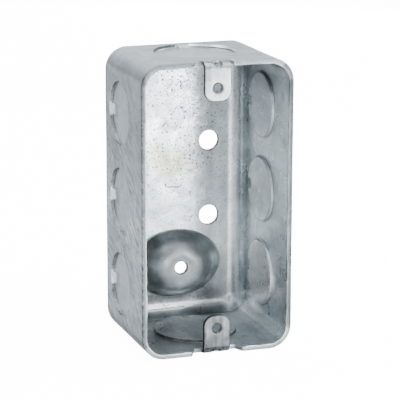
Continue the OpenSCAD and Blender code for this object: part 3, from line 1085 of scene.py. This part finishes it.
def galvanised():
    t = Tree("galvanised_steel_skin")
    n = t.noise
    # where on the box
    front = t.math("MULTIPLY", t.fit(t.y, -2.7, -2.2, 0, 1), t.fit(t.y, -1.3, -1.0, 1, 0))     # the back's inner face
    left_out = t.fit(t.x, -26.4, -26.1, 1, 0)
    inside = t.all(t.fit(t.math("ABSOLUTE", t.x), 25.8, 26.2, 1, 0), t.fit(t.math("ABSOLUTE", t.z), 49.6, 50.0, 1, 0),
                   t.fit(t.y, -0.9, -0.5, 1, 0))
    # random mottling and spangle of the zinc
    blotch = t.fit(n(17, 3, 0.55, 0.4, seed=1), 0.32, 0.68, 0.86, 1.08)
    cloud = t.fit(n(4.2, 4, 0.62, 0.8, seed=2), 0.32, 0.68, 0.90, 1.07)
    grain = t.fit(n(0.55, 3, 0.7, seed=3), 0.3, 0.7, 0.93, 1.06)
    spangle = t.cells(3.4, t.vec("ADD", t.mm, (3.1, 1.7, 9.2)))
    sep = t.t.nodes.new("ShaderNodeSeparateColor")
    t.link(spangle.outputs["Color"], sep.inputs[0])
    flake = t.fit(sep.outputs[0], 0, 1, 0.965, 1.03)
    # marks of the draw, along the depth of the walls, and slanting rubs on the left wall
    walls = t.fit(t.y, -6, -10, 0, 1)
    drawn = t.fit(n(1, 4, 0.6, 0.2, at=t.turned((0, 0, 0), (1.1, 0.07, 1.1))), 0.35, 0.65, -1, 1)
    rub_at = t.turned((-38, 0, 0), (0.2, 0.16, 0.95))
    rub = t.fit(n(1, 3, 0.6, 0.9, at=rub_at, seed=4), 0.36, 0.64, -1, 1)
    rub_here = t.all(left_out, t.fit(t.z, 34, 5, 0.40, 1.0), t.fit(n(14, 2, seed=5), 0.35, 0.6, 0.45, 1))
    streak = t.math("ADD", t.math("MULTIPLY", t.all(drawn, walls), 0.035), t.math("MULTIPLY", t.all(rub, rub_here), 0.56))
    # pits and specks, thickest on the back's inner face
    field = t.fit(n(11, 2, 0.6, seed=6), 0.36, 0.58, 0.15, 1)
    speck = t.fit(n(0.62, 1.5, 0.5, seed=7), 0.655, 0.72, 0, 1, True)
    speck2 = t.fit(n(1.5, 2.5, 0.62, 0.5, seed=8), 0.68, 0.76, 0, 1, True)
    fine = t.fit(n(0.33, 1, 0.5, seed=9), 0.66, 0.75, 0, 1, True)
    here = t.math("MAXIMUM", front, t.math("MULTIPLY", inside, 0.35))
    here = t.math("MAXIMUM", here, 0.12)
    fold = t.math("MULTIPLY", t.fit(t.y, -15, -11, 0, 1), t.math("MAXIMUM", t.fit(t.math("ABSOLUTE", t.x), 18.5, 20.5, 0, 1),
                                                                 t.fit(t.math("ABSOLUTE", t.z), 42.5, 44.5, 0, 1)))
    here = t.math("MULTIPLY", here, t.math("SUBTRACT", 1.0, t.math("MULTIPLY", fold, 0.85)))
    ox, oz = t.math("DIVIDE", t.x, 16.7), t.math("DIVIDE", t.math("ADD", t.z, 30.3), 12.4)
    oval = t.math("ADD", t.math("MULTIPLY", ox, ox), t.math("MULTIPLY", oz, oz))
    dome_at = t.math("MULTIPLY", t.fit(oval, 1.0, 1.08, 1, 0), t.fit(t.y, -1.4, -1.0, 1, 0))
    here = t.math("MULTIPLY", here, t.math("SUBTRACT", 1.0, t.math("MULTIPLY", dome_at, 0.9)))
    pit = t.math("MINIMUM", 1.0, t.all(t.math("ADD", t.math("ADD", speck, speck2), t.math("MULTIPLY", fine, 0.45)), field, here))
    # scuffs
    lines = [t.line("x", 0.9, 27.5, -1.2, 24.0, 0.11), t.line("x", -2.8, 22.3, -4.9, 19.8, 0.11),
             t.line("x", 1.2, 31.9, -0.3, 30.2, 0.05), t.line("x", -3.7, -0.6, -3.3, -1.9, 0.15),
             t.line("x", -3.3, -1.9, 1.9, -2.3, 0.15), t.line("x", 1.9, -2.3, 2.4, -1.1, 0.15),
             t.line("x", -1.8, -3.1, 0.4, -3.7, 0.05), t.line("x", -4.8, -45.2, -3.1, -47.0, 0.12),
             t.line("x", 3.2, -26.0, 4.3, -27.6, 0.06),
             t.line("x", -11.5, -46.9, 3.4, -46.7, 0.09), t.line("x", 1.0, 20.5, 0.2, 19.4, 0.05)]
    scuff = lines[0]
    for q in lines[1:]:
        scuff = t.math("MAXIMUM", scuff, q)
    scuff = t.all(scuff, t.fit(n(2.2, 3, 0.6, seed=10), 0.4, 0.52, 0.6, 1), t.fit(t.y, -8, -6, 0, 1))
    hair = t.fit(n(1, 2, 0.5, 0.15, at=t.turned((0, 47, 0), (0.06, 0.5, 2.6)), seed=11), 0.655, 0.70, 0, 1, True)
    hair = t.all(hair, t.fit(n(7, 1, seed=12), 0.42, 0.56, 0, 1), here)
    # stain
    sx = t.math("DIVIDE", t.math("ADD", t.x, 2.8), 8.6)
    sz = t.math("DIVIDE", t.math("SUBTRACT", t.z, 7.4), 6.0)
    sx2 = t.math("ADD", sx, t.math("MULTIPLY", sz, 0.55))
    d2 = t.math("ADD", t.math("MULTIPLY", sx2, sx2), t.math("MULTIPLY", sz, sz))
    stain = t.all(t.fit(t.math("ADD", d2, t.fit(n(5, 3, 0.6, seed=13), 0.3, 0.7, -0.7, 0.7)), 0.1, 1.7, 1, 0, True), front)
    # cut edges (their duller sheared faces, with painted shade and painted highlights along them) and the painted
    # light, shade and marks from the mesh
    a = t.t.nodes.new("ShaderNodeAttribute")
    a.attribute_name = "cut"
    cut = a.outputs["Fac"]
    c = t.t.nodes.new("ShaderNodeAttribute")
    c.attribute_name = "painted_light_and_marks"
    painted_light_and_marks = c.outputs["Fac"]
    # colour
    base = t.mix(t.fit(n(8, 3, 0.6, 0.5, seed=14), 0.35, 0.65, 0, 1), (0.605, 0.655, 0.68, 1), (0.665, 0.70, 0.718, 1))
    outer = t.math("MAXIMUM", left_out, t.fit(t.z, 50.2, 50.5, 0, 1))
    patch = t.fit(n(9, 4, 0.62, 1.1, seed=41), 0.36, 0.64, -1, 1)
    patch2 = t.fit(n(2.6, 3, 0.6, 0.9, seed=42), 0.36, 0.64, -1, 1)
    patch = t.math("MULTIPLY", outer, t.math("ADD", t.math("MULTIPLY", patch, 0.085), t.math("MULTIPLY", patch2, 0.045)))
    grey = t.all(blotch, cloud, grain, flake, t.math("ADD", streak, 1.0), t.math("ADD", patch, 1.0), painted_light_and_marks)
    strewn = t.math("MAXIMUM", t.dots(1.7, 0.7, 0.11, 0.34, 21), t.math("MULTIPLY", t.dots(0.95, 0.5, 0.09, 0.20, 22), 0.85))
    crowd = t.all(t.dots(1.15, 0.75, 0.12, 0.36, 24), t.fit(t.x, -5, 2, 0, 1), t.fit(t.x, 8, 10, 1, 0), t.fit(t.z, 20, 32, 0, 1))
    strewn = t.math("MAXIMUM", strewn, t.math("MULTIPLY", crowd, 0.9))
    strewn = t.all(strewn, front, t.fit(n(9, 2, 0.6, seed=23), 0.40, 0.56, 0.6, 1), t.fit(t.x, 9, 15, 1, 0.5),
                   t.fit(t.z, -8, 10, 0.5, 1), t.fit(oval, 1.03, 1.10, 0, 1))
    # painted shade in a band below the dome on the back's inner face, deepest towards the left
    painted_shade_below_dome = t.all(front, t.fit(t.z, -41.8, -38.8, 1, 0), t.fit(t.z, -45.5, -44.7, 0, 1), t.fit(oval, 1.0, 1.07, 0, 1),
                  t.fit(t.x, 12.5, 17, 1, 0))
    # painted shade beside the dome to the right, in patches
    painted_shade_beside_dome = t.all(front, t.fit(t.x, 7, 11, 0, 1), t.fit(t.x, 17, 19.4, 1, 0), t.fit(t.z, -31, -24, 1, 0),
                   t.fit(t.z, -45.5, -44.7, 0, 1), t.fit(oval, 1.0, 1.07, 0, 1), t.fit(n(3.5, 3, 0.6, seed=31), 0.35, 0.6, 0.4, 1))
    grey = t.math("MULTIPLY", grey, t.math("SUBTRACT", 1.0, t.math("MULTIPLY", painted_shade_below_dome, t.fit(t.x, 2, 11, 0.77, 0.42))))
    grey = t.math("MULTIPLY", grey, t.math("SUBTRACT", 1.0, t.math("MULTIPLY", painted_shade_beside_dome, 0.30)))
    grey = t.math("MULTIPLY", grey, t.math("SUBTRACT", 1.0, t.math("MULTIPLY", pit, 0.5)))
    grey = t.math("MULTIPLY", grey, t.math("SUBTRACT", 1.0, t.math("MULTIPLY", strewn, 0.96)))
    grey = t.math("MULTIPLY", grey, t.math("SUBTRACT", 1.0, t.math("MULTIPLY", scuff, 0.88)))
    grey = t.math("MULTIPLY", grey, t.math("SUBTRACT", 1.0, t.math("MULTIPLY", hair, 0.16)))
    grey = t.math("MULTIPLY", grey, t.math("SUBTRACT", 1.0, t.math("MULTIPLY", cut, 0.26)))
    col = t.tint(base, grey)
    col = t.mix(t.math("MULTIPLY", stain, 1.0), col, t.vec("MULTIPLY", col, (0.93, 0.84, 0.66)))
    t.link(col, t.bsdf.inputs["Base Color"])
    # roughness
    r = t.fit(n(6, 4, 0.6, 0.6, seed=15), 0.3, 0.7, ROUGH - 0.07, ROUGH + 0.08)
    r = t.math("ADD", r, t.fit(n(0.9, 2, 0.6, seed=16), 0.3, 0.7, -0.03, 0.04))
    r = t.math("ADD", r, t.math("MULTIPLY", pit, 0.22))
    r = t.math("ADD", r, t.math("MULTIPLY", dome_at, 0.10))
    r = t.math("ADD", r, t.math("MULTIPLY", strewn, 0.15))
    r = t.math("ADD", r, t.math("MULTIPLY", t.math("MAXIMUM", cut, 0.0), 0.22), clamp=True)
    t.link(r, t.bsdf.inputs["Roughness"])
    t.bsdf.inputs["Metallic"].default_value = 1.0
    # relief
    h = t.math("ADD", t.fit(n(2.6, 4, 0.6, 0.4, seed=17), 0.3, 0.7, 0, 1), t.fit(n(0.5, 2, 0.6, seed=18), 0.3, 0.7, 0, 0.22))
    h = t.math("ADD", h, t.math("MULTIPLY", streak, 0.7))
    h = t.math("SUBTRACT", h, t.math("MULTIPLY", pit, 0.12))
    h = t.math("SUBTRACT", h, t.math("MULTIPLY", scuff, 0.05))
    h = t.math("MULTIPLY", h, t.math("SUBTRACT", 1.0, t.math("MULTIPLY", fold, 0.85)))
    h = t.math("MULTIPLY", h, t.math("SUBTRACT", 1.0, t.math("MULTIPLY", front, 0.62)))
    h = t.math("MULTIPLY", h, t.math("SUBTRACT", 1.0, t.math("MULTIPLY", dome_at, 0.7)))
    bump = t.t.nodes.new("ShaderNodeBump")
    bump.inputs["Strength"].default_value = 0.45
    bump.inputs["Distance"].default_value = 0.00004
    t.link(h, bump.inputs["Height"])
    t.link(bump.outputs[0], t.bsdf.inputs["Normal"])
    return t.m


sheet.data.materials.append(galvanised())
